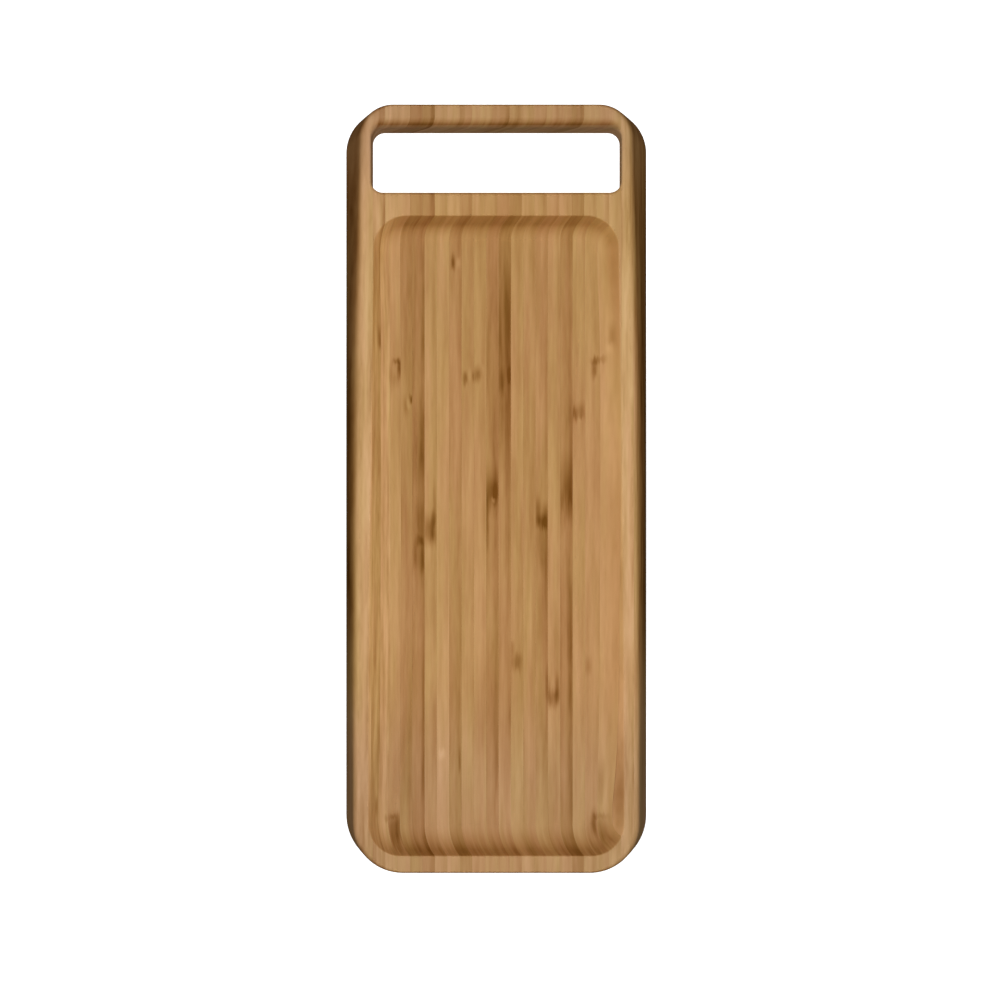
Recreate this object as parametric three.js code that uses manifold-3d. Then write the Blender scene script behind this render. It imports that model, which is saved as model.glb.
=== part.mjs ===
// A long bamboo serving tray: one panel of bamboo strips, glued side by side on edge, then milled.
// The mill leaves a shallow basin with coved walls, a hand slot at one end, and flanks that lean in.
// Millimetres, +Z up. The origin is under the middle of the tray, on the surface that it stands on.
// +Y points to the handle end, and the strips run along Y.

import * as THREE from 'three';
import { mergeVertices } from 'three/addons/utils/BufferGeometryUtils.js';
import Module from 'manifold-3d';

// Overall size of the panel
const TRAY_LENGTH = 381;
const TRAY_WIDTH = 151;
const TRAY_HEIGHT = 22;

// Plan corners of the base and of the flat top, and the small rounding where the base meets the flanks
const CORNER_HANDLE = 21.5;
const CORNER_FOOT = 26.5;
const TOP_CORNER_HANDLE = 15.7;
const TOP_CORNER_FOOT = 24.2;
const BASE_EASE = 1;

// Width of a flank with its shoulder, seen from above: most at the handle end. In the middle of the tray
// the flank is this much of the way from flat to a full rounding.
const FLANK_WIDTH_HANDLE = 11.4;
const FLANK_WIDTH_MIDDLE = 8.4;
const FLANK_WIDTH_FOOT = 7.3;
const FLANK_SWELL = 0.75;

// Rounded shoulder between the flanks and the flat top, and the slight lean of the two ends
const SHOULDER_WIDTH = 2.2;
const SHOULDER_HEIGHT = 3;
const END_SHOULDER_WIDTH = 1.2;
const END_LEAN_WIDTH = 0.4;

// Hand slot through the panel, with a grip bar left beyond it
const GRIP_BAR_WIDTH = 11.4;
const SLOT_LENGTH = 32.6;
const SLOT_SIDE_WIDTH = 13.5;
const SLOT_CORNER = 6;
const SLOT_EASE = 1.9;
const GRIP_ROUND_WIDTH = 5;
const GRIP_ROUND_HEIGHT = 5;

// Basin: the land beside the slot, its rims, its depth, its corners at the rim and how much they tighten
// on the way down, the plan width and steepest slope of its coved walls, and how far out its sides run
// before their walls are as narrow as the corners
const LAND_WIDTH = 11.6;
const SIDE_RIM_WIDTH = 5;
const FOOT_RIM_WIDTH = 9.1;
const BASIN_DEPTH = 9;
const BASIN_CORNER_HANDLE = 16;
const BASIN_CORNER_FOOT = 16;
const BASIN_CORNER_TIGHTENING = 0.8;
const COVE_WIDTH_HANDLE = 11;
const COVE_WIDTH_FOOT = 14.5;
const COVE_WIDTH_SIDE = 22;
const COVE_WIDTH_CORNER = 11.5;
const STEEPEST_COVE_DEGREES = 56;
const BASIN_STRAIGHT_SHARE = 0.85;

// The strips lean to +X as they rise, and a glue line parts each from the next
const STRIPS_CUT_BY_SLOT = 18;
const STRIP_LEAN_DEGREES = 31;
const GLUE_LINE = 0.1;

// Facets along a corner, a side, a flank and a rounding, and how far a cutter runs past the panel
const CORNER_STEPS = 8;
const SIDE_STEPS = 8;
const FLANK_STEPS = 5;
const ROUND_STEPS = 4;
const COVE_STEPS = 7;
const CUTTER_MARGIN = 2;

// Bamboo tones and the satin oil finish that they share
const BAMBOO_TONES = {
  pale: '#c79e6c',
  honey: '#b98d5b',
  rosy: '#bf9166',
  tan: '#b2834f',
  caramel: '#a97c49',
};
const OILED_ROUGHNESS = 0.55;

// Order in which the strips were laid up: those that the slot cuts from left to right, and those beside
// the slot from it outwards
const SLOT_LAY_UP = [
  'honey', 'rosy', 'caramel', 'honey', 'pale', 'tan', 'rosy', 'honey', 'caramel',
  'tan', 'honey', 'rosy', 'tan', 'pale', 'caramel', 'pale', 'honey', 'pale',
];
const LEFT_LAY_UP = ['pale', 'honey', 'pale'];
const RIGHT_LAY_UP = ['pale', 'honey', 'rosy', 'tan'];

const HALF_LENGTH = TRAY_LENGTH / 2;
const HALF_WIDTH = TRAY_WIDTH / 2;
const SLOT_HALF_WIDTH = HALF_WIDTH - SLOT_SIDE_WIDTH;
const SLOT_HANDLE_Y = HALF_LENGTH - GRIP_BAR_WIDTH;
const SLOT_FOOT_Y = SLOT_HANDLE_Y - SLOT_LENGTH;
const SLOT_MIDDLE_Y = (SLOT_HANDLE_Y + SLOT_FOOT_Y) / 2;
const BASIN_HANDLE_Y = SLOT_FOOT_Y - LAND_WIDTH;
const BASIN_FOOT_Y = FOOT_RIM_WIDTH - HALF_LENGTH;
const BASIN_FLOOR_Z = TRAY_HEIGHT - BASIN_DEPTH;

const wasm = await Module();
wasm.setup();

function solidFrom(geometry) {
  const bare = geometry.clone();
  bare.deleteAttribute('normal');
  bare.deleteAttribute('uv');
  const merged = mergeVertices(bare);
  const vertProperties = new Float32Array(merged.attributes.position.array);
  const triVerts = new Uint32Array(merged.index.array);
  return new wasm.Manifold(new wasm.Mesh({ numProp: 3, vertProperties, triVerts }));
}

function geometryFrom(solid) {
  const mesh = solid.getMesh();
  const geometry = new THREE.BufferGeometry();
  geometry.setAttribute('position', new THREE.BufferAttribute(mesh.vertProperties, 3));
  geometry.setIndex(new THREE.BufferAttribute(mesh.triVerts, 1));
  geometry.computeVertexNormals();
  return geometry;
}

// One closed outline at height z, counter-clockwise from above. Its ends are straight, its sides
// follow halfWidthAt(y), and each corner is a quarter of an ellipse with the given reaches.
function outline(z, footY, handleY, halfWidthAt, footCorner, handleCorner) {
  const right = [];
  const footCentre = footY + footCorner.y;
  const handleCentre = handleY - handleCorner.y;
  const addCorner = (centreY, corner, from, step) => {
    const angle = from + (step / CORNER_STEPS) * (Math.PI / 2);
    const x = halfWidthAt(centreY) - corner.x * (1 - Math.cos(angle));
    right.push(new THREE.Vector3(x, centreY + corner.y * Math.sin(angle), z));
  };
  for (let step = 0; step < CORNER_STEPS; step += 1) {
    addCorner(footCentre, footCorner, -Math.PI / 2, step);
  }
  for (let step = 0; step <= SIDE_STEPS; step += 1) {
    const y = THREE.MathUtils.lerp(footCentre, handleCentre, step / SIDE_STEPS);
    right.push(new THREE.Vector3(halfWidthAt(y), y, z));
  }
  for (let step = 1; step <= CORNER_STEPS; step += 1) {
    addCorner(handleCentre, handleCorner, 0, step);
  }
  const left = right.map((point) => new THREE.Vector3(-point.x, point.y, point.z));
  return [...right, ...left.reverse()];
}

// Skin over outlines with equal numbers of points, from the lowest up, closed by a flat cap at each end
function loft(outlines) {
  const count = outlines[0].length;
  const positions = outlines.flat().flatMap((point) => point.toArray());
  const index = [];
  for (let level = 0; level < outlines.length - 1; level += 1) {
    for (let i = 0; i < count; i += 1) {
      const here = level * count + i;
      const next = level * count + ((i + 1) % count);
      index.push(here, next, next + count, here, next + count, here + count);
    }
  }
  const capOf = (ring) => THREE.ShapeUtils.triangulateShape(ring.map((p) => new THREE.Vector2(p.x, p.y)), []);
  const topStart = (outlines.length - 1) * count;
  for (const [a, b, c] of capOf(outlines[0])) {
    index.push(c, b, a);
  }
  for (const [a, b, c] of capOf(outlines[outlines.length - 1])) {
    index.push(topStart + a, topStart + b, topStart + c);
  }
  const geometry = new THREE.BufferGeometry();
  geometry.setAttribute('position', new THREE.Float32BufferAttribute(positions, 3));
  geometry.setIndex(index);
  return geometry;
}

// Half the width of the flat top at y: the flanks follow a gentle curve through their three given widths
function topHalfWidth(y) {
  const along = y / HALF_LENGTH;
  const taper = (FLANK_WIDTH_HANDLE - FLANK_WIDTH_FOOT) / 2;
  const swell = (FLANK_WIDTH_HANDLE + FLANK_WIDTH_FOOT) / 2 - FLANK_WIDTH_MIDDLE;
  return HALF_WIDTH - (FLANK_WIDTH_MIDDLE + taper * along + swell * along * along);
}

// Share of the rounded shoulder that is taken up at height z
function shoulderShare(z) {
  const left = Math.min((TRAY_HEIGHT - z) / SHOULDER_HEIGHT, 1);
  return (1 - Math.sqrt(left)) ** 2;
}

// Share of the flank's height that is climbed at height z
function flankClimb(z) {
  return Math.max(z - BASE_EASE, 0) / (TRAY_HEIGHT - BASE_EASE);
}

// How far a flank has come in at height z. Near the two ends it leans in flat, up to its shoulder, and
// towards the middle it swells into one long rounding from the base to the top.
function flankInset(y, z) {
  const climb = flankClimb(z);
  const width = HALF_WIDTH - topHalfWidth(y);
  const flat = climb * (width - SHOULDER_WIDTH) + shoulderShare(z) * SHOULDER_WIDTH;
  const swollen = width * (1 - Math.sqrt(1 - climb * climb));
  const along = y / HALF_LENGTH;
  return THREE.MathUtils.lerp(flat, swollen, FLANK_SWELL * (1 - along * along) ** 2);
}

// Panel before the basin and slot are cut: a square base, flanks that come in, and a rounded shoulder
function panelOutline(z, ease) {
  const sideInset = (y) => ease + flankInset(y, z);
  const climb = flankClimb(z);
  const endInset = ease + climb * END_LEAN_WIDTH + shoulderShare(z) * END_SHOULDER_WIDTH;
  const footReach = THREE.MathUtils.lerp(CORNER_FOOT, TOP_CORNER_FOOT, climb) - ease;
  const handleReach = THREE.MathUtils.lerp(CORNER_HANDLE, TOP_CORNER_HANDLE, climb) - ease;
  const footCorner = { x: footReach, y: footReach };
  const handleCorner = { x: handleReach, y: handleReach };
  const halfWidthAt = (y) => HALF_WIDTH - sideInset(y);
  const end = HALF_LENGTH - endInset;
  return outline(z, -end, end, halfWidthAt, footCorner, handleCorner);
}

function panelBlank() {
  const outlines = [];
  for (let step = 0; step <= ROUND_STEPS; step += 1) {
    const angle = (step / ROUND_STEPS) * (Math.PI / 2);
    outlines.push(panelOutline(BASE_EASE * (1 - Math.cos(angle)), BASE_EASE * (1 - Math.sin(angle))));
  }
  const shoulderZ = TRAY_HEIGHT - SHOULDER_HEIGHT;
  for (let step = 1; step <= FLANK_STEPS; step += 1) {
    outlines.push(panelOutline(THREE.MathUtils.lerp(BASE_EASE, shoulderZ, step / FLANK_STEPS), 0));
  }
  for (let step = 1; step <= ROUND_STEPS; step += 1) {
    const left = 1 - step / ROUND_STEPS;
    outlines.push(panelOutline(TRAY_HEIGHT - SHOULDER_HEIGHT * left * left, 0));
  }
  return loft(outlines);
}

// Basin cutter: its walls are coves, each an arc that leaves the floor level. Where the arc has got as
// steep as it may, the wall goes on straight. The walls share their heights but not their widths, so
// they blend into each other at the corners.
function coveInset(width, rise) {
  const slope = Math.min(THREE.MathUtils.degToRad(STEEPEST_COVE_DEGREES), 2 * Math.atan(BASIN_DEPTH / width));
  const radius = (width * Math.tan(slope) - BASIN_DEPTH) / (1 / Math.cos(slope) - 1);
  if (rise > radius * (1 - Math.cos(slope))) {
    return (BASIN_DEPTH - rise) / Math.tan(slope);
  }
  return width - Math.sqrt(radius * radius - (radius - rise) * (radius - rise));
}

// Width of a side wall at y: broad in the middle of the basin, and as narrow as the corners near its ends
function sideCoveWidth(y) {
  const middle = (BASIN_FOOT_Y + BASIN_HANDLE_Y) / 2;
  const along = Math.min(Math.abs(y - middle) / (BASIN_STRAIGHT_SHARE * (BASIN_HANDLE_Y - middle)), 1);
  return THREE.MathUtils.lerp(COVE_WIDTH_SIDE, COVE_WIDTH_CORNER, along ** 4);
}

function basinCutter() {
  const basinOutline = (z, rise) => {
    const footInset = coveInset(COVE_WIDTH_FOOT, rise);
    const handleInset = coveInset(COVE_WIDTH_HANDLE, rise);
    const tucked = BASIN_CORNER_TIGHTENING * coveInset(COVE_WIDTH_CORNER, rise);
    const footReach = BASIN_CORNER_FOOT - BASIN_CORNER_TIGHTENING * footInset;
    const handleReach = BASIN_CORNER_HANDLE - BASIN_CORNER_TIGHTENING * handleInset;
    const footCorner = { x: BASIN_CORNER_FOOT - tucked, y: footReach };
    const handleCorner = { x: BASIN_CORNER_HANDLE - tucked, y: handleReach };
    const halfWidthAt = (y) => topHalfWidth(y) - SIDE_RIM_WIDTH - coveInset(sideCoveWidth(y), rise);
    const footY = BASIN_FOOT_Y + footInset;
    const handleY = BASIN_HANDLE_Y - handleInset;
    return outline(z, footY, handleY, halfWidthAt, footCorner, handleCorner);
  };
  const outlines = [];
  for (let step = 0; step <= COVE_STEPS; step += 1) {
    const rise = BASIN_DEPTH * (step / COVE_STEPS) ** 2;
    outlines.push(basinOutline(BASIN_FLOOR_Z + rise, rise));
  }
  outlines.push(basinOutline(TRAY_HEIGHT + CUTTER_MARGIN, BASIN_DEPTH));
  return loft(outlines);
}

// How far a rounded upper edge has opened at height z
function edgeOpening(z, width, height) {
  const climb = THREE.MathUtils.clamp((z - TRAY_HEIGHT + height) / height, 0, 1);
  return width * (1 - Math.sqrt(1 - climb * climb));
}

// Hand slot cutter: every edge is eased, and the grip bar's upper edge is rounded wider for the fingers
function slotCutter() {
  const slotOutline = (z, sideOpening, gripOpening) => {
    const handleCorner = { x: SLOT_CORNER + sideOpening, y: SLOT_CORNER + gripOpening };
    const footCorner = { x: SLOT_CORNER + sideOpening, y: SLOT_CORNER + sideOpening };
    const halfWidthAt = () => SLOT_HALF_WIDTH + sideOpening;
    const footY = SLOT_FOOT_Y - sideOpening;
    const handleY = SLOT_HANDLE_Y + gripOpening;
    return outline(z, footY, handleY, halfWidthAt, footCorner, handleCorner);
  };
  const outlines = [slotOutline(-CUTTER_MARGIN, BASE_EASE, BASE_EASE)];
  for (let step = 0; step <= ROUND_STEPS; step += 1) {
    const angle = (step / ROUND_STEPS) * (Math.PI / 2);
    const opening = BASE_EASE * (1 - Math.sin(angle));
    outlines.push(slotOutline(BASE_EASE * (1 - Math.cos(angle)), opening, opening));
  }
  const heights = [];
  for (let step = 0; step <= ROUND_STEPS; step += 1) {
    const climb = Math.sin((step / ROUND_STEPS) * (Math.PI / 2));
    heights.push(TRAY_HEIGHT - GRIP_ROUND_HEIGHT * (1 - climb));
    heights.push(TRAY_HEIGHT - SLOT_EASE * (1 - climb));
  }
  for (const z of [...new Set(heights)].sort((a, b) => a - b)) {
    const sideOpening = edgeOpening(z, SLOT_EASE, SLOT_EASE);
    outlines.push(slotOutline(z, sideOpening, edgeOpening(z, GRIP_ROUND_WIDTH, GRIP_ROUND_HEIGHT)));
  }
  outlines.push(slotOutline(TRAY_HEIGHT + CUTTER_MARGIN, SLOT_EASE, GRIP_ROUND_WIDTH));
  return loft(outlines);
}

// Glue planes: where each crosses the base. The strips that the slot cuts in two fill the room between
// the slot's lower left edge and its upper right edge, and the same pitch carries on to both flanks.
const LEAN = Math.tan(THREE.MathUtils.degToRad(STRIP_LEAN_DEGREES));
const STRIP_PITCH = (2 * SLOT_HALF_WIDTH - TRAY_HEIGHT * LEAN - 2 * GLUE_LINE) / STRIPS_CUT_BY_SLOT;
const FIRST_CUT_PLANE = GLUE_LINE - SLOT_HALF_WIDTH;
const PLANES_BEFORE_SLOT = Math.floor((FIRST_CUT_PLANE + HALF_WIDTH) / STRIP_PITCH);
const PLANES_IN_ALL = Math.floor((HALF_WIDTH - FIRST_CUT_PLANE) / STRIP_PITCH) + PLANES_BEFORE_SLOT;

function gluePlaneX(plane) {
  return FIRST_CUT_PLANE + (plane - PLANES_BEFORE_SLOT) * STRIP_PITCH;
}

// Room that one strip has in the panel: a leaning slab between two glue planes, as long as the panel.
// The outermost strips run on past the flanks, so that the mill takes them down with the rest.
function stripSlab(strip) {
  const halfGlue = GLUE_LINE / 2 / Math.cos(THREE.MathUtils.degToRad(STRIP_LEAN_DEGREES));
  const outside = HALF_WIDTH + TRAY_HEIGHT * LEAN + CUTTER_MARGIN;
  const leftX = strip === 0 ? -outside : gluePlaneX(strip - 1) + halfGlue;
  const rightX = strip === PLANES_IN_ALL ? outside : gluePlaneX(strip) - halfGlue;
  const below = -CUTTER_MARGIN;
  const above = TRAY_HEIGHT + CUTTER_MARGIN;
  const section = new THREE.Shape([
    new THREE.Vector2(leftX + below * LEAN, below),
    new THREE.Vector2(rightX + below * LEAN, below),
    new THREE.Vector2(rightX + above * LEAN, above),
    new THREE.Vector2(leftX + above * LEAN, above),
  ]);
  const length = TRAY_LENGTH + 2 * CUTTER_MARGIN;
  const slab = new THREE.ExtrudeGeometry(section, { depth: length, bevelEnabled: false });
  slab.rotateX(Math.PI / 2);
  slab.translate(0, length / 2, 0);
  return slab;
}

// Everything on the handle side of the slot's middle, to part a cut strip's grip block from its long piece
function handleSide() {
  const width = 2 * (TRAY_WIDTH + TRAY_HEIGHT * LEAN);
  const box = new THREE.BoxGeometry(width, TRAY_LENGTH, 2 * (TRAY_HEIGHT + CUTTER_MARGIN));
  box.translate(0, SLOT_MIDDLE_Y + TRAY_LENGTH / 2, 0);
  return box;
}

function bambooMesh(name, number, solid, layUp) {
  const color = BAMBOO_TONES[layUp[(number - 1) % layUp.length]];
  const material = new THREE.MeshStandardMaterial({ color, roughness: OILED_ROUGHNESS, metalness: 0 });
  const mesh = new THREE.Mesh(geometryFrom(solid), material);
  mesh.name = `${name}_${String(number).padStart(2, '0')}`;
  return mesh;
}

// The tray: every strip of the milled panel, and a grip block for each strip that the slot cuts in two
const hollowedPanel = solidFrom(panelBlank()).subtract(solidFrom(basinCutter()));
const milledPanel = hollowedPanel.subtract(solidFrom(slotCutter()));
const beyondSlot = solidFrom(handleSide());
const tray = new THREE.Group();

for (let strip = 0; strip <= PLANES_IN_ALL; strip += 1) {
  const milledStrip = milledPanel.intersect(solidFrom(stripSlab(strip)));
  const place = strip - PLANES_BEFORE_SLOT;
  const leftPlace = 1 - place;
  const rightPlace = place - STRIPS_CUT_BY_SLOT;
  if (leftPlace > 0) {
    tray.add(bambooMesh('left_strip', leftPlace, milledStrip, LEFT_LAY_UP));
  } else if (rightPlace > 0) {
    tray.add(bambooMesh('right_strip', rightPlace, milledStrip, RIGHT_LAY_UP));
  } else {
    tray.add(bambooMesh('cut_strip', place, milledStrip.subtract(beyondSlot), SLOT_LAY_UP));
    tray.add(bambooMesh('grip_block', place, milledStrip.intersect(beyondSlot), SLOT_LAY_UP));
  }
}

export default tray;
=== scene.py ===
import math

import bmesh
import bpy
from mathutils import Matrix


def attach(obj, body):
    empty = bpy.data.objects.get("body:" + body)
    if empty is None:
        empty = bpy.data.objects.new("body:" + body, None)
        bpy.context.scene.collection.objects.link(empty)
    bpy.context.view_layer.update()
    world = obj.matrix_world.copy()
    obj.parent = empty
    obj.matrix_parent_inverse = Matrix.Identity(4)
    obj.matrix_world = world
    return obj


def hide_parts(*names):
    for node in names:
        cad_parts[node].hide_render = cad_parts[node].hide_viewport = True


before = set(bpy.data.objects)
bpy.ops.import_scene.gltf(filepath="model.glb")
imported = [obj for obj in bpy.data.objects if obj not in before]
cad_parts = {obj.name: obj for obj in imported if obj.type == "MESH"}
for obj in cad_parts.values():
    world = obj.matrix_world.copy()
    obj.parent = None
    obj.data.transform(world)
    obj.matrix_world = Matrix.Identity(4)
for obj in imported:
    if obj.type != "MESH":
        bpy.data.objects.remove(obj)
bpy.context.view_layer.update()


# The pressed panel. Bamboo strips are planed square, glued side by side on edge and pressed into one
# blank. The mill then leans its flanks in, flat near the ends and in one long rounding in the middle,
# and eases the edge that it stands on. Sizes are in millimetres, from under the middle of the tray.
TRAY_LENGTH = 381
TRAY_WIDTH = 151
TRAY_HEIGHT = 22
PANEL_CORNER_FOOT = 26.5
PANEL_CORNER_HANDLE = 21.5
TOP_CORNER_FOOT = 24.2
TOP_CORNER_HANDLE = 15.7
BASE_EASE = 1
FLANK_WIDTH_FOOT = 7.3
FLANK_WIDTH_MIDDLE = 8.4
FLANK_WIDTH_HANDLE = 11.4
FLANK_SWELL = 0.75
SHOULDER_WIDTH = 2.2
SHOULDER_HEIGHT = 3
END_SHOULDER_WIDTH = 1.2
END_LEAN = 0.4
HALF_LENGTH = TRAY_LENGTH / 2
HALF_WIDTH = TRAY_WIDTH / 2
CORNER_SEGMENTS = 20
SIDE_CUTS = 31
FLANK_STEPS = 12
ROUND_STEPS = 8
SAME_PLACE = 0.001


def top_half_width(y):
    along = y / HALF_LENGTH
    taper = (FLANK_WIDTH_HANDLE - FLANK_WIDTH_FOOT) / 2
    swell = (FLANK_WIDTH_HANDLE + FLANK_WIDTH_FOOT) / 2 - FLANK_WIDTH_MIDDLE
    return HALF_WIDTH - (FLANK_WIDTH_MIDDLE + taper * along + swell * along * along)


def level(z, foot_y, handle_y, half_width_at, foot_reach, handle_reach):
    return {"z": z, "foot_y": foot_y, "handle_y": handle_y, "half_width_at": half_width_at,
            "foot_reach": foot_reach, "handle_reach": handle_reach}


def drawn_up(half_width, foot_y, handle_y, foot_corner, handle_corner, levels):
    """A closed solid: a plan with rounded corners, drawn up through its levels from the lowest."""
    solid = bmesh.new()
    bmesh.ops.create_grid(solid, x_segments=1, y_segments=1, size=1)
    for vert in solid.verts:
        vert.co.x *= half_width
        vert.co.y = handle_y if vert.co.y > 0 else foot_y
    for end_y, reach in ((foot_y, foot_corner), (handle_y, handle_corner)):
        corners = [vert for vert in solid.verts if abs(vert.co.y - end_y) < SAME_PLACE]
        bmesh.ops.bevel(solid, geom=corners, offset=reach, affect="VERTICES",
                        segments=CORNER_SEGMENTS, profile=0.5, material=-1)
    sides = [edge for edge in solid.edges if edge.calc_length() > 2 * foot_corner
             and all(abs(abs(vert.co.x) - half_width) < SAME_PLACE for vert in edge.verts)
             and edge.verts[0].co.x * edge.verts[1].co.x > 0]
    bmesh.ops.subdivide_edges(solid, edges=sides, cuts=SIDE_CUTS)
    plan = solid.verts.layers.float_vector.new("plan")
    for vert in solid.verts:
        vert[plan] = vert.co
    foot_centre = foot_y + foot_corner
    handle_centre = handle_y - handle_corner
    ring = [edge for edge in solid.edges if edge.is_boundary]
    for number, at in enumerate(levels):
        if number:
            ring = [item for item in bmesh.ops.extrude_edge_only(solid, edges=ring)["geom"]
                    if isinstance(item, bmesh.types.BMEdge)]
        low_centre = at["foot_y"] + at["foot_reach"][1]
        high_centre = at["handle_y"] - at["handle_reach"][1]
        for vert in {vert for edge in ring for vert in edge.verts}:
            home = vert[plan]
            tuck = half_width - abs(home.x)
            if home.y < foot_centre:
                reach_x, reach_y = (reach / foot_corner for reach in at["foot_reach"])
                middle, turn = low_centre, home.y - foot_centre
            elif home.y > handle_centre:
                reach_x, reach_y = (reach / handle_corner for reach in at["handle_reach"])
                middle, turn = high_centre, home.y - handle_centre
            else:
                reach_x = reach_y = turn = 0
                share = (home.y - foot_centre) / (handle_centre - foot_centre)
                middle = low_centre + (high_centre - low_centre) * share
            x = at["half_width_at"](middle) - reach_x * tuck
            vert.co = (math.copysign(x, home.x), middle + reach_y * turn, at["z"])
    bmesh.ops.edgeloop_fill(solid, edges=ring)
    bmesh.ops.recalc_face_normals(solid, faces=solid.faces)
    return solid


def shoulder_share(z):
    left = min((TRAY_HEIGHT - z) / SHOULDER_HEIGHT, 1)
    return (1 - math.sqrt(left)) ** 2


def flank_climb(z):
    return max(z - BASE_EASE, 0) / (TRAY_HEIGHT - BASE_EASE)


def flank_rounding(y):
    """1 in the middle, where the flank is one long rounding, and 0 at the ends, where it is flat."""
    return (1 - (y / HALF_LENGTH) ** 2) ** 2


def flank_inset(y, z):
    climb = flank_climb(z)
    width = HALF_WIDTH - top_half_width(y)
    flat = climb * (width - SHOULDER_WIDTH) + shoulder_share(z) * SHOULDER_WIDTH
    swollen = width * (1 - math.sqrt(1 - climb * climb))
    return flat + (swollen - flat) * FLANK_SWELL * flank_rounding(y)


def panel_level(z, ease):
    climb = flank_climb(z)
    end_inset = ease + climb * END_LEAN + shoulder_share(z) * END_SHOULDER_WIDTH
    foot_reach = PANEL_CORNER_FOOT + (TOP_CORNER_FOOT - PANEL_CORNER_FOOT) * climb - ease
    handle_reach = PANEL_CORNER_HANDLE + (TOP_CORNER_HANDLE - PANEL_CORNER_HANDLE) * climb - ease
    return level(z, end_inset - HALF_LENGTH, HALF_LENGTH - end_inset,
                 lambda y: HALF_WIDTH - ease - flank_inset(y, z),
                 (foot_reach, foot_reach), (handle_reach, handle_reach))


def pressed_panel():
    levels = []
    for step in range(ROUND_STEPS + 1):
        angle = step / ROUND_STEPS * math.pi / 2
        levels.append(panel_level(BASE_EASE * (1 - math.cos(angle)), BASE_EASE * (1 - math.sin(angle))))
    flank_height = TRAY_HEIGHT - SHOULDER_HEIGHT - BASE_EASE
    for step in range(1, FLANK_STEPS + 1):
        levels.append(panel_level(BASE_EASE + flank_height * step / FLANK_STEPS, 0))
    for step in range(1, ROUND_STEPS + 1):
        levels.append(panel_level(TRAY_HEIGHT - SHOULDER_HEIGHT * (1 - step / ROUND_STEPS) ** 2, 0))
    return drawn_up(HALF_WIDTH, -HALF_LENGTH, HALF_LENGTH, PANEL_CORNER_FOOT, PANEL_CORNER_HANDLE, levels)


# The basin. A round-nosed cutter sinks it into the panel: the floor is flat and the walls are coves,
# tight at the two ends and in the corners, and broad along the sides. Its rim is eased by sanding.
GRIP_BAR_WIDTH = 11.4
SLOT_LENGTH = 32.6
LAND_WIDTH = 11.6
SIDE_RIM_WIDTH = 5
FOOT_RIM_WIDTH = 9.1
BASIN_DEPTH = 9
BASIN_CORNER_FOOT = 16
BASIN_CORNER_HANDLE = 16
BASIN_CORNER_TIGHTENING = 0.8
COVE_WIDTH_SIDE = 22
COVE_WIDTH_CORNER = 11.5
COVE_WIDTH_FOOT = 14.5
COVE_WIDTH_HANDLE = 11
STEEPEST_COVE = math.radians(56)
SIDE_COVE_STRAIGHT_SHARE = 0.85
SIDE_COVE_FULLNESS = 4
RIM_EASE = 0.5
COVE_STEPS = 18
RIM_STEPS = 4
CUTTER_MARGIN = 2
SLOT_HANDLE_Y = HALF_LENGTH - GRIP_BAR_WIDTH
SLOT_FOOT_Y = SLOT_HANDLE_Y - SLOT_LENGTH
BASIN_FOOT_Y = FOOT_RIM_WIDTH - HALF_LENGTH
BASIN_HANDLE_Y = SLOT_FOOT_Y - LAND_WIDTH


def cove_inset(width, rise):
    """An arc that leaves the floor level and, where it has got as steep as it may, goes on straight."""
    slope = min(STEEPEST_COVE, 2 * math.atan(BASIN_DEPTH / width))
    radius = (width * math.tan(slope) - BASIN_DEPTH) / (1 / math.cos(slope) - 1)
    if rise > radius * (1 - math.cos(slope)):
        return (BASIN_DEPTH - rise) / math.tan(slope)
    return width - math.sqrt(radius ** 2 - (radius - rise) ** 2)


def side_cove_width(y):
    """Broad in the middle of the basin, and as narrow as the corners near its ends."""
    middle = (BASIN_FOOT_Y + BASIN_HANDLE_Y) / 2
    along = min(abs(y - middle) / (SIDE_COVE_STRAIGHT_SHARE * (BASIN_HANDLE_Y - middle)), 1)
    return COVE_WIDTH_SIDE + (COVE_WIDTH_CORNER - COVE_WIDTH_SIDE) * along ** SIDE_COVE_FULLNESS


def basin_level(z, rise, share=1, lip=0):
    def inset(width):
        return share * cove_inset(width, rise) - lip

    tucked = inset(COVE_WIDTH_CORNER)
    foot = inset(COVE_WIDTH_FOOT)
    handle = inset(COVE_WIDTH_HANDLE)
    return level(z, BASIN_FOOT_Y + foot, BASIN_HANDLE_Y - handle,
                 lambda y: top_half_width(y) - SIDE_RIM_WIDTH - inset(side_cove_width(y)),
                 [BASIN_CORNER_FOOT - BASIN_CORNER_TIGHTENING * taken for taken in (tucked, foot)],
                 [BASIN_CORNER_HANDLE - BASIN_CORNER_TIGHTENING * taken for taken in (tucked, handle)])


def basin_cutter():
    levels = []
    cove_rise = BASIN_DEPTH - RIM_EASE
    for step in range(COVE_STEPS):
        rise = cove_rise * (step / COVE_STEPS) ** 2
        levels.append(basin_level(TRAY_HEIGHT - BASIN_DEPTH + rise, rise))
    for step in range(RIM_STEPS + 1):
        turn = step / RIM_STEPS
        left = (1 - turn) ** 2
        levels.append(basin_level(TRAY_HEIGHT - RIM_EASE * left, cove_rise, left, turn ** 2 * RIM_EASE))
    levels.append(basin_level(TRAY_HEIGHT + CUTTER_MARGIN, BASIN_DEPTH, 1, RIM_EASE))
    return drawn_up(HALF_WIDTH - SIDE_RIM_WIDTH, BASIN_FOOT_Y, BASIN_HANDLE_Y,
                    BASIN_CORNER_FOOT, BASIN_CORNER_HANDLE, levels)


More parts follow.
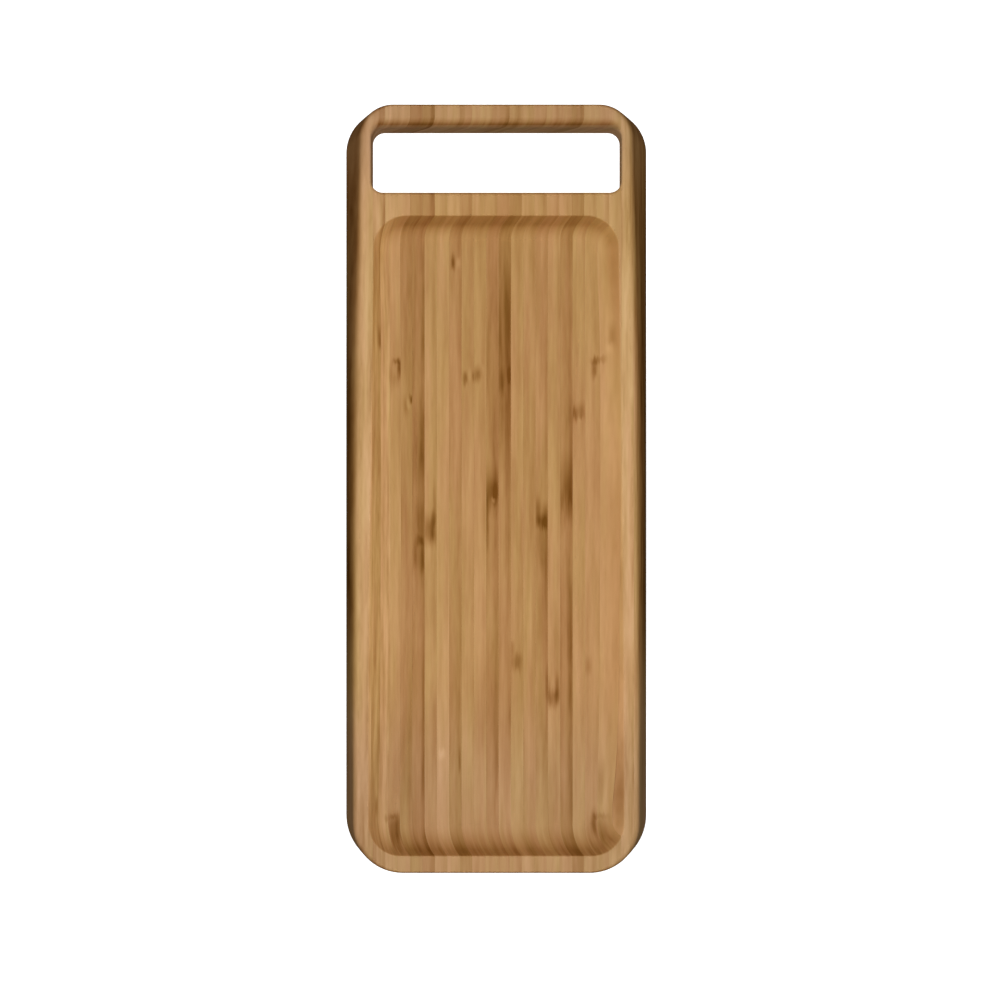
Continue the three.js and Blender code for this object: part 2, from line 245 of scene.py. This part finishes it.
# The hand slot. It is routed right through the panel and leaves a slim grip bar beyond it. Every edge
# is eased, and the upper edge of the grip bar is rounded over wider, where the fingers curl round it.
SLOT_SIDE_WIDTH = 13.5
SLOT_CORNER = 6
SLOT_EASE = 1.9
GRIP_ROUND_WIDTH = 5
GRIP_ROUND_HEIGHT = 5
MERGE_WITHIN = 0.0005
SLOT_HALF_WIDTH = HALF_WIDTH - SLOT_SIDE_WIDTH


def edge_opening(z, width, height):
    climb = min(max((z - TRAY_HEIGHT + height) / height, 0), 1)
    return width * (1 - math.sqrt(1 - climb * climb))


def slot_level(z, side, grip):
    return level(z, SLOT_FOOT_Y - side, SLOT_HANDLE_Y + grip, lambda y: SLOT_HALF_WIDTH + side,
                 (SLOT_CORNER + side, SLOT_CORNER + side), (SLOT_CORNER + side, SLOT_CORNER + grip))


def slot_cutter():
    levels = [slot_level(-CUTTER_MARGIN, BASE_EASE, BASE_EASE)]
    for step in range(ROUND_STEPS + 1):
        angle = step / ROUND_STEPS * math.pi / 2
        opening = BASE_EASE * (1 - math.sin(angle))
        levels.append(slot_level(BASE_EASE * (1 - math.cos(angle)), opening, opening))
    climbs = [math.sin(step / ROUND_STEPS * math.pi / 2) for step in range(ROUND_STEPS + 1)]
    heights = {TRAY_HEIGHT - size * (1 - climb)
               for size in (GRIP_ROUND_HEIGHT, SLOT_EASE) for climb in climbs}
    for z in sorted(heights):
        levels.append(slot_level(z, edge_opening(z, SLOT_EASE, SLOT_EASE),
                                 edge_opening(z, GRIP_ROUND_WIDTH, GRIP_ROUND_HEIGHT)))
    levels.append(slot_level(TRAY_HEIGHT + CUTTER_MARGIN, SLOT_EASE, GRIP_ROUND_WIDTH))
    return drawn_up(SLOT_HALF_WIDTH, SLOT_FOOT_Y, SLOT_HANDLE_Y, SLOT_CORNER, SLOT_CORNER, levels)


def solid_object(name, solid):
    mesh = bpy.data.meshes.new(name)
    solid.to_mesh(mesh)
    solid.free()
    made = bpy.data.objects.new(name, mesh)
    bpy.context.scene.collection.objects.link(made)
    return made


def milled_panel():
    panel = solid_object("pressed_panel", pressed_panel())
    cutters = [solid_object("basin_cutter", basin_cutter()), solid_object("slot_cutter", slot_cutter())]
    for cutter in cutters:
        cut = panel.modifiers.new(cutter.name, "BOOLEAN")
        cut.operation = "DIFFERENCE"
        cut.solver = "EXACT"
        cut.object = cutter
    milled = bmesh.new()
    milled.from_object(panel, bpy.context.evaluated_depsgraph_get())
    bmesh.ops.remove_doubles(milled, verts=milled.verts, dist=MERGE_WITHIN)
    for spare in (panel, *cutters):
        bpy.data.meshes.remove(spare.data)
    return milled


# Painted shade on the milled panel. The end walls of the basin, the grip bar's rounding and most of the
# flanks are deeper in tone, as painted shade where these faces turn from the light, and the basin is a
# little deeper towards its floor, as painted shade too. Sloping faces get a warmer, less blue painted
# shade tint, but the walls of the slot are sanded pale. Each point keeps its share, and the strips take it
# along.
# Painted shade on the end walls of the basin and on the grip bar's rounding
END_WALL_SHADE_GRIP = 0.56
END_WALL_SHADE_HANDLE = 0.32
END_WALL_SHADE_FOOT = 0.47
END_WALL_SHADE_ONSET = 1.7
END_WALL_SHADE_FULL_AT = 2 / 3
SLOT_WALL_PALER = 0.15
# Painted shade on the flanks, and painted light on them at the foot
FLANK_SHADE_HANDLE = 0.39
FLANK_SHADE_MIDDLE = 0.48
FLANK_SHADE_FOOT = -0.28
FLANK_ONSET = 3
FLANK_LOW_PALER = 0.8
FLANK_LOW_HEIGHT = 12
FLANK_FOOT_TO_MIDDLE = (-110, -50)
FLANK_MIDDLE_TO_HANDLE = (50, 110)
LEFT_FLANK_SHADE = 0.03
FLANK_END_PALER = 0.13
FLANK_END_FROM_MIDDLE = (140, 170)
# Painted shade in the basin, deeper towards its floor
BASIN_SHADE = 0.04
EDGE_MARGIN = 1


def share_of_way(value, start, end):
    return min(max((value - start) / (end - start), 0), 1)


# Painted shade on the flanks: deeper in tone towards the handle and in the middle, a little more on the
# left, and painted light at the foot. There is less of it near the very ends, and low on the rounded
# middle.
def flank_painted_shade(x, y, z):
    near_handle = share_of_way(y, *FLANK_MIDDLE_TO_HANDLE)
    off_foot = share_of_way(y, *FLANK_FOOT_TO_MIDDLE)
    tone = FLANK_SHADE_FOOT + (FLANK_SHADE_MIDDLE - FLANK_SHADE_FOOT) * off_foot
    tone += (FLANK_SHADE_HANDLE - FLANK_SHADE_MIDDLE) * near_handle
    tone -= math.copysign(LEFT_FLANK_SHADE, x) * (1 - near_handle)
    tone -= FLANK_END_PALER * share_of_way(abs(y), *FLANK_END_FROM_MIDDLE)
    paler_low = FLANK_LOW_PALER * flank_rounding(y) * (1 - share_of_way(z, 0, FLANK_LOW_HEIGHT))
    return tone * (1 - paler_low)


# Painted shade on faces that turn toward the ends of the tray and up: most on the grip bar's rounding,
# then the foot wall, then the handle wall of the basin.
def end_wall_painted_shade(y):
    if y > SLOT_FOOT_Y + SLOT_LENGTH / 2:
        return END_WALL_SHADE_GRIP
    return END_WALL_SHADE_HANDLE if y > 0 else END_WALL_SHADE_FOOT


def paint_shade(panel):
    panel.normal_update()
    deeper = panel.verts.layers.float.new("deeper")
    warmer = panel.verts.layers.float.new("warmer")
    for vert in panel.verts:
        x, y, z = vert.co
        # painted shade on walls that face up and turn toward the ends of the tray
        faces_up = share_of_way(vert.normal.z, 0, END_WALL_SHADE_FULL_AT)
        vert[deeper] = end_wall_painted_shade(y) * faces_up * abs(vert.normal.y) ** END_WALL_SHADE_ONSET
        # the share of the painted shade tint, larger the more a face slopes
        vert[warmer] = 1 - vert.normal.z ** 2
        if abs(x) > top_half_width(y) - EDGE_MARGIN:
            # painted shade on the flanks, strongest where they face straight out
            vert[deeper] += flank_painted_shade(x, y, z) * abs(vert.normal.x) ** FLANK_ONSET
        elif SLOT_FOOT_Y - EDGE_MARGIN < y < SLOT_HANDLE_Y + EDGE_MARGIN:
            vert[deeper] -= SLOT_WALL_PALER * vert[warmer] ** 2
            vert[warmer] = 0
        elif y < BASIN_HANDLE_Y and z > BASE_EASE:
            # painted shade, a little deeper towards the floor of the basin
            vert[deeper] += BASIN_SHADE * (TRAY_HEIGHT - z) / BASIN_DEPTH


milled = milled_panel()
paint_shade(milled)


# Strips on the left of the slot. Each is bamboo planed to about 5 mm and glued to the next on edge,
# leaning to the right as it rises. They run the whole length of the tray, past the end of the slot.
STRIPS_CUT_BY_SLOT = 18
STRIP_LEAN = math.tan(math.radians(31))
GLUE_LINE = 0.04
SLOT_CLEARANCE = 0.1
FIRST_CUT_PLANE = SLOT_CLEARANCE - SLOT_HALF_WIDTH
STRIP_PITCH = (2 * SLOT_HALF_WIDTH - TRAY_HEIGHT * STRIP_LEAN - 2 * SLOT_CLEARANCE) / STRIPS_CUT_BY_SLOT
SLOT_MIDDLE_Y = (SLOT_FOOT_Y + SLOT_HANDLE_Y) / 2
CUT_WITHIN = 0.0001
MILLIMETRE = 0.001
SHARP_EDGE = math.radians(28)


def glue_plane(place):
    """Where the glue line on the left of a strip crosses the base.
    Place 1 is the first strip that the slot cuts."""
    return FIRST_CUT_PLANE + (place - 1) * STRIP_PITCH


def cut_at(piece, plane_x, side):
    cut = bmesh.ops.bisect_plane(
        piece, geom=piece.verts[:] + piece.edges[:] + piece.faces[:], dist=CUT_WITHIN,
        plane_co=(plane_x, 0, 0), plane_no=(side, 0, -side * STRIP_LEAN), clear_outer=True)
    seam = [item for item in cut["geom_cut"] if isinstance(item, bmesh.types.BMEdge)]
    bmesh.ops.edgeloop_fill(piece, edges=seam)


def strip_of_panel(name, place, keep=None, left_cut=True, right_cut=True):
    """The part of the milled panel between two glue lines, or the part of it on one side of the slot."""
    piece = milled.copy()
    if left_cut:
        cut_at(piece, glue_plane(place) + GLUE_LINE / 2, -1)
    if right_cut:
        cut_at(piece, glue_plane(place + 1) - GLUE_LINE / 2, 1)
    if keep:
        beyond = [vert for vert in piece.verts if (vert.co.y > SLOT_MIDDLE_Y) == (keep == "foot side")]
        bmesh.ops.delete(piece, geom=beyond, context="VERTS")
    bmesh.ops.recalc_face_normals(piece, faces=piece.faces)
    for face in piece.faces:
        face.smooth = True
    bmesh.ops.scale(piece, vec=(MILLIMETRE,) * 3, verts=piece.verts)
    made = solid_object(name, piece)
    made.data.set_sharp_from_angle(angle=SHARP_EDGE)
    shading = made.modifiers.new("flat_faces_stay_flat", "WEIGHTED_NORMAL")
    shading.keep_sharp = True
    return made


def paint(red, green, blue):
    """A colour as a screen shows it, in the linear values that a shader takes."""
    return tuple(((part / 255 + 0.055) / 1.055) ** 2.4 for part in (red, green, blue)) + (1,)


def joined(tree, kind, inputs, **settings):
    """A node with its settings, each input either linked from a socket or set to a number."""
    made = tree.nodes.new(kind)
    for name, value in settings.items():
        setattr(made, name, value)
    for name, value in inputs.items():
        if isinstance(value, bpy.types.NodeSocket):
            tree.links.new(value, made.inputs[name])
        else:
            made.inputs[name].default_value = value
    return made.outputs[0]


def sums(tree, operation, *parts):
    return joined(tree, "ShaderNodeMath", dict(enumerate(parts)), operation=operation)


def vector_sums(tree, operation, *parts):
    return joined(tree, "ShaderNodeVectorMath", dict(enumerate(parts)), operation=operation)


def eased(tree, value, start, end):
    """0 at start, 1 at end, with a smooth climb between them."""
    return joined(tree, "ShaderNodeMapRange", {0: value, 1: start, 2: end, 3: 0.0, 4: 1.0},
                  interpolation_type="SMOOTHSTEP")


# What shows in the bamboo, each with its shift, how many there are to the millimetre across the fibres
# and along them, and its detail, and then how much deeper it makes the tone
DRIFT = (0.9, 0.03, 0.009, 1.0)
DRIFT_DEEPER = 0.30
CLOUDS = (0.2, 0.10, 0.024, 1.5)
CLOUDS_DEEPER = 0.10
BROAD_STREAKS = (0.0, 0.40, 0.021, 1.5)
BROAD_STREAKS_DEEPER = 0.31
FIBRES = (0.4, 0.85, 0.110, 1.0)
FIBRES_DEEPER = 0.105
FLECKS = (0.7, 2.20, 0.080, 1.0)
FLECKS_DEEPER = 0.02
FLECK_EDGE = (0.58, 0.72)
HUES = (0.6, 0.14, 0.010, 2.0)
DRIFT_AND_CLOUDS_MEAN = 0.20
STREAKS_AND_FIBRES_MEAN = 0.207
MIDDLE_OF_NOISE = (0.3, 0.7)
NOISE_ROUGHNESS = 0.55
SHARE_IN_DEPTH = 0.12
SHIFT_OF_STRIP = (7.31, 3.77, 5.13)


def streaks(tree, along_fibres, place, kind):
    shift, across, along, detail = kind
    where = joined(tree, "ShaderNodeMapping", {
        "Vector": along_fibres, "Location": tuple((place + shift) * step for step in SHIFT_OF_STRIP),
        "Scale": (across, along, across * SHARE_IN_DEPTH)})
    return joined(tree, "ShaderNodeTexNoise", {
        "Vector": where, "Scale": 1.0, "Detail": detail, "Roughness": NOISE_ROUGHNESS})


BAMBOO_DEPTHS = (
    (0.00, paint(222, 181, 134)),
    (0.30, paint(203, 160, 110)),
    (0.50, paint(185, 142, 92)),
    (0.70, paint(165, 120, 72)),
    (0.86, paint(139, 95, 48)),
    (1.00, paint(110, 68, 23)),
)
OLIVE = (0.975, 1.018, 0.94)
ROSY = (1.02, 0.982, 1.035)
BLEACH = (-0.03, 0.0, 0.13)
BLEACHED_FOOT = (-90.0, -150.0)
BLEACHED_HANDLE = (135.0, 175.0)
# A warmer, less blue painted shade tint for sloping faces
SHADE_TINT = (0.05, -0.05, -0.27)
CALM_DEPTH = 0.48
CALM_SHARE = 0.40
CALM_FOOT = (-110.0, -165.0)
CALM_FOOT_SHARE = 0.8
CALM_HANDLE = (120.0, 165.0)
CALM_HANDLE_SHARE = 0.3
CALM_IN_SHADE = (0.0, 0.2)
SKIN_STARTS = 0.40
SKIN_DEEPEST = 0.88
SKIN_ENDS = 1.10
SKIN_LEAST = 0.4
SKIN_LOST_IN_CALM = 0.7
MARK_RAGGED = 5.0
MARK_CORE = 0.1
MARK_EDGE_ACROSS = 1.5
MARK_EDGE_ALONG = 1.4
ROUGHNESS = (0.64, 0.78)
GRAIN_STRENGTH = 0.25
GRAIN_HEIGHT = 0.0001
GRAIN_OF_FLECKS = 0.5


def bamboo(name, place, depth, skin, marks, figure=1):
    """Oiled bamboo. Depth is how dark the strip is, skin how much darker it gets on its right, where the
    culm's outer wall was, and figure how strong its streaks are. Marks are the nodes of the culm, and
    stretches where its tone drifts: share across the strip, y, half width, half length, and how much
    deeper the tone is there. Near the ends and on faces with painted shade the strips are calm: their
    tones come closer together. The painted shade kept on the panel deepens the tone, and sloping faces
    take a painted shade tint."""
    finish = bpy.data.materials.new(name)
    finish.use_nodes = True
    tree = finish.node_tree
    shader = tree.nodes["Principled BSDF"]
    object_place = tree.nodes.new("ShaderNodeTexCoord").outputs["Object"]
    parts = tree.nodes.new("ShaderNodeSeparateXYZ")
    tree.links.new(vector_sums(tree, "MULTIPLY", object_place, (1 / MILLIMETRE,) * 3), parts.inputs[0])
    x, y, z = parts.outputs
    across = sums(tree, "MULTIPLY_ADD", z, -STRIP_LEAN, x)
    fibre_place = joined(tree, "ShaderNodeCombineXYZ", {0: across, 1: y, 2: z})
    drift, clouds, broad, fibres, flecks, hues = (
        streaks(tree, fibre_place, place, kind)
        for kind in (DRIFT, CLOUDS, BROAD_STREAKS, FIBRES, FLECKS, HUES))
    # the painted shade and the share of the painted shade tint, as the panel keeps them
    painted_shade, shade_tint_share = (joined(tree, "ShaderNodeAttribute", {}, attribute_name=kept).node.outputs["Fac"]
                    for kept in ("deeper", "warmer"))

    calm = sums(tree, "MULTIPLY", eased(tree, y, *CALM_FOOT), CALM_FOOT_SHARE)
    calm = sums(tree, "MULTIPLY_ADD", eased(tree, y, *CALM_HANDLE), CALM_HANDLE_SHARE, calm)
    calm = sums(tree, "MAXIMUM", calm, eased(tree, painted_shade, *CALM_IN_SHADE))
    plain = depth - DRIFT_AND_CLOUDS_MEAN - STREAKS_AND_FIBRES_MEAN * figure
    tone = sums(tree, "MULTIPLY_ADD", calm, CALM_SHARE * (CALM_DEPTH - depth), plain)
    # the painted shade deepens the tone
    tone = sums(tree, "ADD", painted_shade, tone)
    for noise, deeper in (
            (drift, DRIFT_DEEPER), (clouds, CLOUDS_DEEPER), (broad, BROAD_STREAKS_DEEPER * figure),
            (fibres, FIBRES_DEEPER * figure), (eased(tree, flecks, *FLECK_EDGE), FLECKS_DEEPER)):
        tone = sums(tree, "MULTIPLY_ADD", noise, deeper, tone)

    left = glue_plane(place)
    skin_starts, skin_deepest, skin_ends = (
        left + share * STRIP_PITCH for share in (SKIN_STARTS, SKIN_DEEPEST, SKIN_ENDS))
    toward_skin = sums(tree, "MULTIPLY", eased(tree, across, skin_starts, skin_deepest),
                       eased(tree, across, skin_ends, skin_deepest))
    skin_left = eased(tree, clouds, *MIDDLE_OF_NOISE)
    skin_left = sums(tree, "MULTIPLY_ADD", skin_left, 1 - SKIN_LEAST, SKIN_LEAST)
    toward_skin = sums(tree, "MULTIPLY", toward_skin, skin_left)
    skin_deeper = sums(tree, "MULTIPLY_ADD", calm, -SKIN_LOST_IN_CALM * skin, skin)
    tone = sums(tree, "MULTIPLY_ADD", toward_skin, skin_deeper, tone)

    ragged = sums(tree, "MULTIPLY_ADD", fibres, MARK_RAGGED, sums(tree, "ADD", y, -MARK_RAGGED / 2))
    mark_place = joined(tree, "ShaderNodeCombineXYZ", {0: across, 1: ragged})
    for share, mark_y, half_width, half_length, deeper in marks:
        mark_x = left + share * STRIP_PITCH
        from_mark = joined(tree, "ShaderNodeMapping", {
            "Vector": mark_place, "Location": (-mark_x / half_width, -mark_y / half_length, 0),
            "Scale": (1 / half_width, 1 / half_length, 0)})
        away = tree.nodes.new("ShaderNodeSeparateXYZ")
        tree.links.new(vector_sums(tree, "ABSOLUTE", from_mark), away.inputs[0])
        inside = sums(tree, "MULTIPLY", eased(tree, away.outputs[0], MARK_EDGE_ACROSS, MARK_CORE),
                      eased(tree, away.outputs[1], MARK_EDGE_ALONG, MARK_CORE))
        tone = sums(tree, "MULTIPLY_ADD", inside, deeper, tone)

    ramp = tree.nodes.new("ShaderNodeValToRGB")
    stops = ramp.color_ramp.elements
    while len(stops) < len(BAMBOO_DEPTHS):
        stops.new(0.5)
    for stop, (position, colour) in zip(stops, BAMBOO_DEPTHS):
        stop.position = position
        stop.color = colour
    tree.links.new(tone, ramp.inputs[0])
    olive_to_rosy = tuple(rosy - olive for rosy, olive in zip(ROSY, OLIVE))
    tint = vector_sums(tree, "MULTIPLY_ADD", eased(tree, hues, *MIDDLE_OF_NOISE), olive_to_rosy, OLIVE)
    colour = vector_sums(tree, "MULTIPLY", ramp.outputs[0], tint)
    bleached = sums(tree, "MAXIMUM", eased(tree, y, *BLEACHED_FOOT), eased(tree, y, *BLEACHED_HANDLE))
    # the bleach near both ends, and the painted shade tint on sloping faces
    for amount, change in ((bleached, BLEACH), (shade_tint_share, SHADE_TINT)):
        changed = vector_sums(tree, "MULTIPLY_ADD", amount, change, (1, 1, 1))
        colour = vector_sums(tree, "MULTIPLY", colour, changed)
    tree.links.new(colour, shader.inputs["Base Color"])

    roughness = joined(tree, "ShaderNodeMapRange", dict(enumerate((fibres, *MIDDLE_OF_NOISE, *ROUGHNESS))))
    tree.links.new(roughness, shader.inputs["Roughness"])
    shader.inputs["Specular IOR Level"].default_value = 0.0
    grain = sums(tree, "MULTIPLY_ADD", flecks, GRAIN_OF_FLECKS, fibres)
    bump = joined(tree, "ShaderNodeBump", {
        "Strength": GRAIN_STRENGTH, "Distance": GRAIN_HEIGHT, "Height": grain})
    tree.links.new(bump, shader.inputs["Normal"])
    return finish


def finished(piece, node, finish):
    piece.data.materials.append(finish)
    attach(piece, "root")
    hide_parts(node)


# Each row is one strip, from the slot outwards: its slot, depth, skin and marks, as bamboo() takes them
SIDE_FIGURE = 2.1
LEFT_STRIPS = (
    ("pale_bamboo", 0.36, 0.06, (
        (0.94, 56, 0.9, 7, 0.16), (0.85, -164, 1.3, 2.0, 0.18), (0.72, -148, 1.8, 24, -0.12))),
    ("honey_bamboo", 0.46, 0.12, (
        (0.84, 74, 1.1, 7, 0.24), (0.95, 68, 1.2, 3, -0.14), (0.78, -158, 1.1, 5, 0.24),
        (0.30, 133, 2, 14, -0.16))),
    ("pale_bamboo", 0.30, 0.05, (
        (0.50, -150, 6, 70, 0.14), (0.50, 136, 2, 20, 0.08))),
)
for number, (slot, depth, skin, marks) in enumerate(LEFT_STRIPS, 1):
    node = f"left_strip_{number:02d}"
    finish = bamboo(f"bamboo_{node}", 1 - number, depth, skin, marks, SIDE_FIGURE)
    piece = strip_of_panel(f"long_{node}", 1 - number, left_cut=number < len(LEFT_STRIPS))
    finished(piece, node, finish)


# Strips that the slot cuts, and the grip blocks that it leaves of them. Each block is the far end of
# its strip, so it has the same bamboo. The blocks are held only by the glue between them, and make the
# middle of the grip bar.
CUT_STRIPS = (
    ("honey_bamboo", 0.42, 0.10, (
        (0.60, 63.5, 2.6, 1.8, 0.20), (0.86, 60, 1.2, 5, 0.30), (0.08, 55, 0.9, 9, 0.16),
        (0.40, 59, 1.4, 3, -0.10), (0.50, 57, 3.0, 8, 0.14), (0.50, -170, 3.8, 9, 0.34),
        (0.84, -167, 1.4, 6, 0.18), (0.40, -163, 3.0, 1.6, 0.12), (0.40, -152, 2.8, 18, 0.08))),
    ("rosy_bamboo", 0.56, 0.08, (
        (0.92, 45, 1.2, 2.5, 0.28), (0.66, 43, 1.2, 3, -0.16), (0.40, 41, 1.5, 5, 0.15))),
    ("caramel_bamboo", 0.63, 0.20, (
        (0.82, -34, 1.5, 9, 0.17), (0.24, -34, 1.5, 8, 0.17), (0.60, -26, 2.2, 3, 0.14),
        (0.55, -18, 3.4, 12, 0.12), (0.50, 45, 6, 60, 0.06), (0.92, -105, 1.0, 60, 0.10))),
    ("honey_bamboo", 0.47, 0.14, (
        (0.76, -15, 1.6, 5, 0.12), (0.72, -24.5, 1.6, 5, 0.13), (0.82, -6, 0.9, 11, 0.14),
        (0.42, -20, 3.4, 8, 0.29), (0.30, -32, 1.8, 6, -0.06))),
    ("pale_bamboo", 0.42, 0.06, ((0.40, -132, 1.8, 3.0, -0.16),)),
    ("tan_bamboo", 0.60, 0.08, (
        (0.30, 113, 1.1, 4, 0.28), (0.75, 112, 1.1, 3, -0.14), (0.85, -135, 0.8, 7, 0.12))),
    ("rosy_bamboo", 0.50, 0.06, (
        (0.30, 55, 1.4, 3.8, 0.25), (0.65, 57, 1.4, 3, -0.08), (0.95, 56, 1.0, 3.4, 0.18))),
    ("honey_bamboo", 0.50, 0.10, (
        (0.28, 57, 2.1, 4.4, 0.25), (0.70, 60, 1.2, 3, -0.06))),
    ("caramel_bamboo", 0.60, 0.12, (
        (0.50, -1, 4.8, 12, 0.22), (0.58, -2, 2.6, 6, 0.12), (0.58, -5.5, 1.0, 1.6, -0.18),
        (0.08, -14, 0.8, 15, 0.16), (0.40, 70, 2.4, 70, 0.06), (0.10, 65, 0.8, 22, 0.10),
        (0.60, 24, 4.0, 20, 0.05))),
    ("tan_bamboo", 0.58, 0.12, (
        (0.55, 68, 4.4, 64, 0.24), (0.72, -10, 2.0, 34, 0.17), (0.24, 53, 1.5, 7, 0.13),
        (0.84, 57, 1.1, 4, 0.12), (0.12, 78, 0.8, 14, 0.10))),
    ("honey_bamboo", 0.51, 0.06, (
        (0.45, -86, 3.4, 5, 0.20), (0.12, -79, 1.2, 3.5, 0.15))),
    ("rosy_bamboo", 0.53, 0.08, ()),
    ("tan_bamboo", 0.54, 0.14, (
        (0.18, -11, 1.6, 8, 0.20), (0.78, -14, 1.8, 7, 0.20), (0.48, -16.5, 3.2, 3.8, 0.16),
        (0.50, -25, 3.9, 16, 0.13), (0.92, -97, 1.0, 10, 0.16), (0.50, -95, 6, 60, 0.10))),
    ("pale_bamboo", 0.50, 0.08, (
        (0.74, -99, 1.2, 8, 0.26), (0.40, -104.5, 3.4, 5.0, 0.26), (0.06, -100, 1.0, 7, 0.18))),
    ("caramel_bamboo", 0.60, 0.14, (
        (0.50, -1, 4.8, 18, 0.21), (0.74, -2.5, 2.6, 8, 0.05), (0.14, -6, 0.9, 7, 0.08),
        (0.80, -95, 1.5, 50, 0.08))),
    ("pale_bamboo", 0.48, 0.06, (
        (0.50, 38.5, 3.4, 5.0, 0.20), (0.12, 37, 1.4, 4.4, 0.16), (0.60, 34.5, 1.4, 1.6, -0.08))),
    ("honey_bamboo", 0.45, 0.06, (
        (0.75, 64, 2.4, 1.8, 0.20), (0.64, 60, 1.3, 5, 0.28), (0.90, 59, 1.0, 4, -0.08),
        (0.20, -88, 1.7, 5, 0.14), (0.70, -166, 1.6, 7, 0.28), (0.90, -163, 1.6, 1.6, 0.12),
        (0.60, -171, 3.0, 8, 0.16))),
    ("pale_bamboo", 0.38, 0.05, (
        (0.12, 64, 1.6, 1.8, 0.20), (0.64, 76, 1.1, 7, 0.22), (0.48, 70, 1.3, 3, -0.12),
        (0.35, -163, 3.0, 1.6, 0.12), (0.30, -170, 3.2, 9, 0.32), (0.22, -148, 1.8, 13, 0.20))),
)
for place, (slot, depth, skin, marks) in enumerate(CUT_STRIPS, 1):
    finish = bamboo(f"bamboo_cut_strip_{place:02d}", place, depth, skin, marks)
    strip = strip_of_panel(f"long_cut_strip_{place:02d}", place, keep="foot side")
    finished(strip, f"cut_strip_{place:02d}", finish)
    block = strip_of_panel(f"short_grip_block_{place:02d}", place, keep="handle side")
    finished(block, f"grip_block_{place:02d}", finish)


# Strips on the right of the slot: the same bamboo and glue, and again the whole length of the tray.
# They lean out over the base, so the mill leaves only the lower parts of the last ones, as the flank.
RIGHT_STRIPS = (
    ("pale_bamboo", 0.31, 0.05, (
        (0.08, -156, 1.2, 10, 0.15), (0.40, 135, 2.6, 20, 0.12))),
    ("honey_bamboo", 0.36, 0.08, ((0.50, -150, 6, 60, 0.03),)),
    ("rosy_bamboo", 0.34, 0.05, ((0.50, -150, 6, 70, 0.10),)),
    ("tan_bamboo", 0.36, 0.05, ()),
)
for number, (slot, depth, skin, marks) in enumerate(RIGHT_STRIPS, 1):
    node = f"right_strip_{number:02d}"
    place = STRIPS_CUT_BY_SLOT + number
    finish = bamboo(f"bamboo_{node}", place, depth, skin, marks, SIDE_FIGURE)
    piece = strip_of_panel(f"long_{node}", place, right_cut=number < len(RIGHT_STRIPS))
    finished(piece, node, finish)
milled.free()


# Floor: a wide pale sheet that the tray lies on. It shows white and keeps the tray's shadow, and gives
# little light back to the flanks, as a dull sheet does.
FLOOR_SIZE = 6
SHEET_WHITE = (0.9, 0.9, 0.9, 1)
SHEET_GLOW = 0.9
SHEET_DULL = (0.12, 0.12, 0.12, 1)


def rays_that_show_background(tree):
    """1 for the rays of the camera and for those that metal or glass would send on."""
    ray = tree.nodes.new("ShaderNodeLightPath").outputs
    seen = sums(tree, "MAXIMUM", ray["Is Camera Ray"], ray["Is Glossy Ray"])
    return sums(tree, "MAXIMUM", seen, ray["Is Transmission Ray"])


floor_mesh = bmesh.new()
bmesh.ops.create_grid(floor_mesh, x_segments=1, y_segments=1, size=FLOOR_SIZE / 2)
floor = solid_object("floor", floor_mesh)
sheet = bpy.data.materials.new("pale_sheet")
sheet.use_nodes = True
tree = sheet.node_tree
tree.nodes.clear()
white = joined(tree, "ShaderNodeBsdfDiffuse", {"Color": SHEET_WHITE})
glow = joined(tree, "ShaderNodeEmission", {"Color": (1, 1, 1, 1), "Strength": SHEET_GLOW})
shown = joined(tree, "ShaderNodeAddShader", {0: white, 1: glow})
dull = joined(tree, "ShaderNodeBsdfDiffuse", {"Color": SHEET_DULL})
mixed = joined(tree, "ShaderNodeMixShader", {0: rays_that_show_background(tree), 1: dull, 2: shown})
tree.links.new(mixed, tree.nodes.new("ShaderNodeOutputMaterial").inputs["Surface"])
floor.data.materials.append(sheet)


# Light: one soft box straight above the tray, and a weak even light from all round. Both together light
# a level face at about 1, so that a colour renders as it is written. The room itself shows white.
SOFT_BOX_HEIGHT = 0.36
SOFT_BOX_WIDTH = 0.05
SOFT_BOX_LENGTH = 0.7
SOFT_BOX_SPREAD = math.radians(100)
SOFT_BOX_POWER = 0.70
ROOM_LIGHT = 0.14
ROOM_WHITE = 1.0
soft_box = bpy.data.lights.new("soft_box", "AREA")
soft_box.shape = "RECTANGLE"
soft_box.size = SOFT_BOX_WIDTH
soft_box.size_y = SOFT_BOX_LENGTH
soft_box.spread = SOFT_BOX_SPREAD
soft_box.energy = SOFT_BOX_POWER
soft_box_object = bpy.data.objects.new("soft_box", soft_box)
soft_box_object.location = (0, 0, SOFT_BOX_HEIGHT)
soft_box_object.visible_camera = False
bpy.context.scene.collection.objects.link(soft_box_object)
room = bpy.data.worlds.new("room")
room.use_nodes = True
tree = room.node_tree
background = tree.nodes["Background"]
strength = joined(tree, "ShaderNodeMapRange", {
    0: rays_that_show_background(tree), 1: 0.0, 2: 1.0, 3: ROOM_LIGHT, 4: ROOM_WHITE})
background.inputs["Color"].default_value = (1, 1, 1, 1)
tree.links.new(strength, background.inputs["Strength"])
bpy.context.scene.world = room
bpy.context.scene.view_settings.view_transform = "Standard"


# Camera: straight above the tray and a little off its middle, as the photograph was taken. Its lens is
# long, so the sides of the tray show only as narrow bands.
SENSOR_WIDTH = 36
LENS_LENGTH = 78.58
NEAREST_SEEN = 0.01
FARTHEST_SEEN = 20
CAMERA_PLACE = (0.00188, -0.00556, 1.1)
camera = bpy.data.cameras.new("camera")
camera.sensor_width = SENSOR_WIDTH
camera.lens = LENS_LENGTH
camera.clip_start = NEAREST_SEEN
camera.clip_end = FARTHEST_SEEN
camera_object = bpy.data.objects.new("camera", camera)
camera_object.location = CAMERA_PLACE
bpy.context.scene.collection.objects.link(camera_object)
bpy.context.scene.camera = camera_object
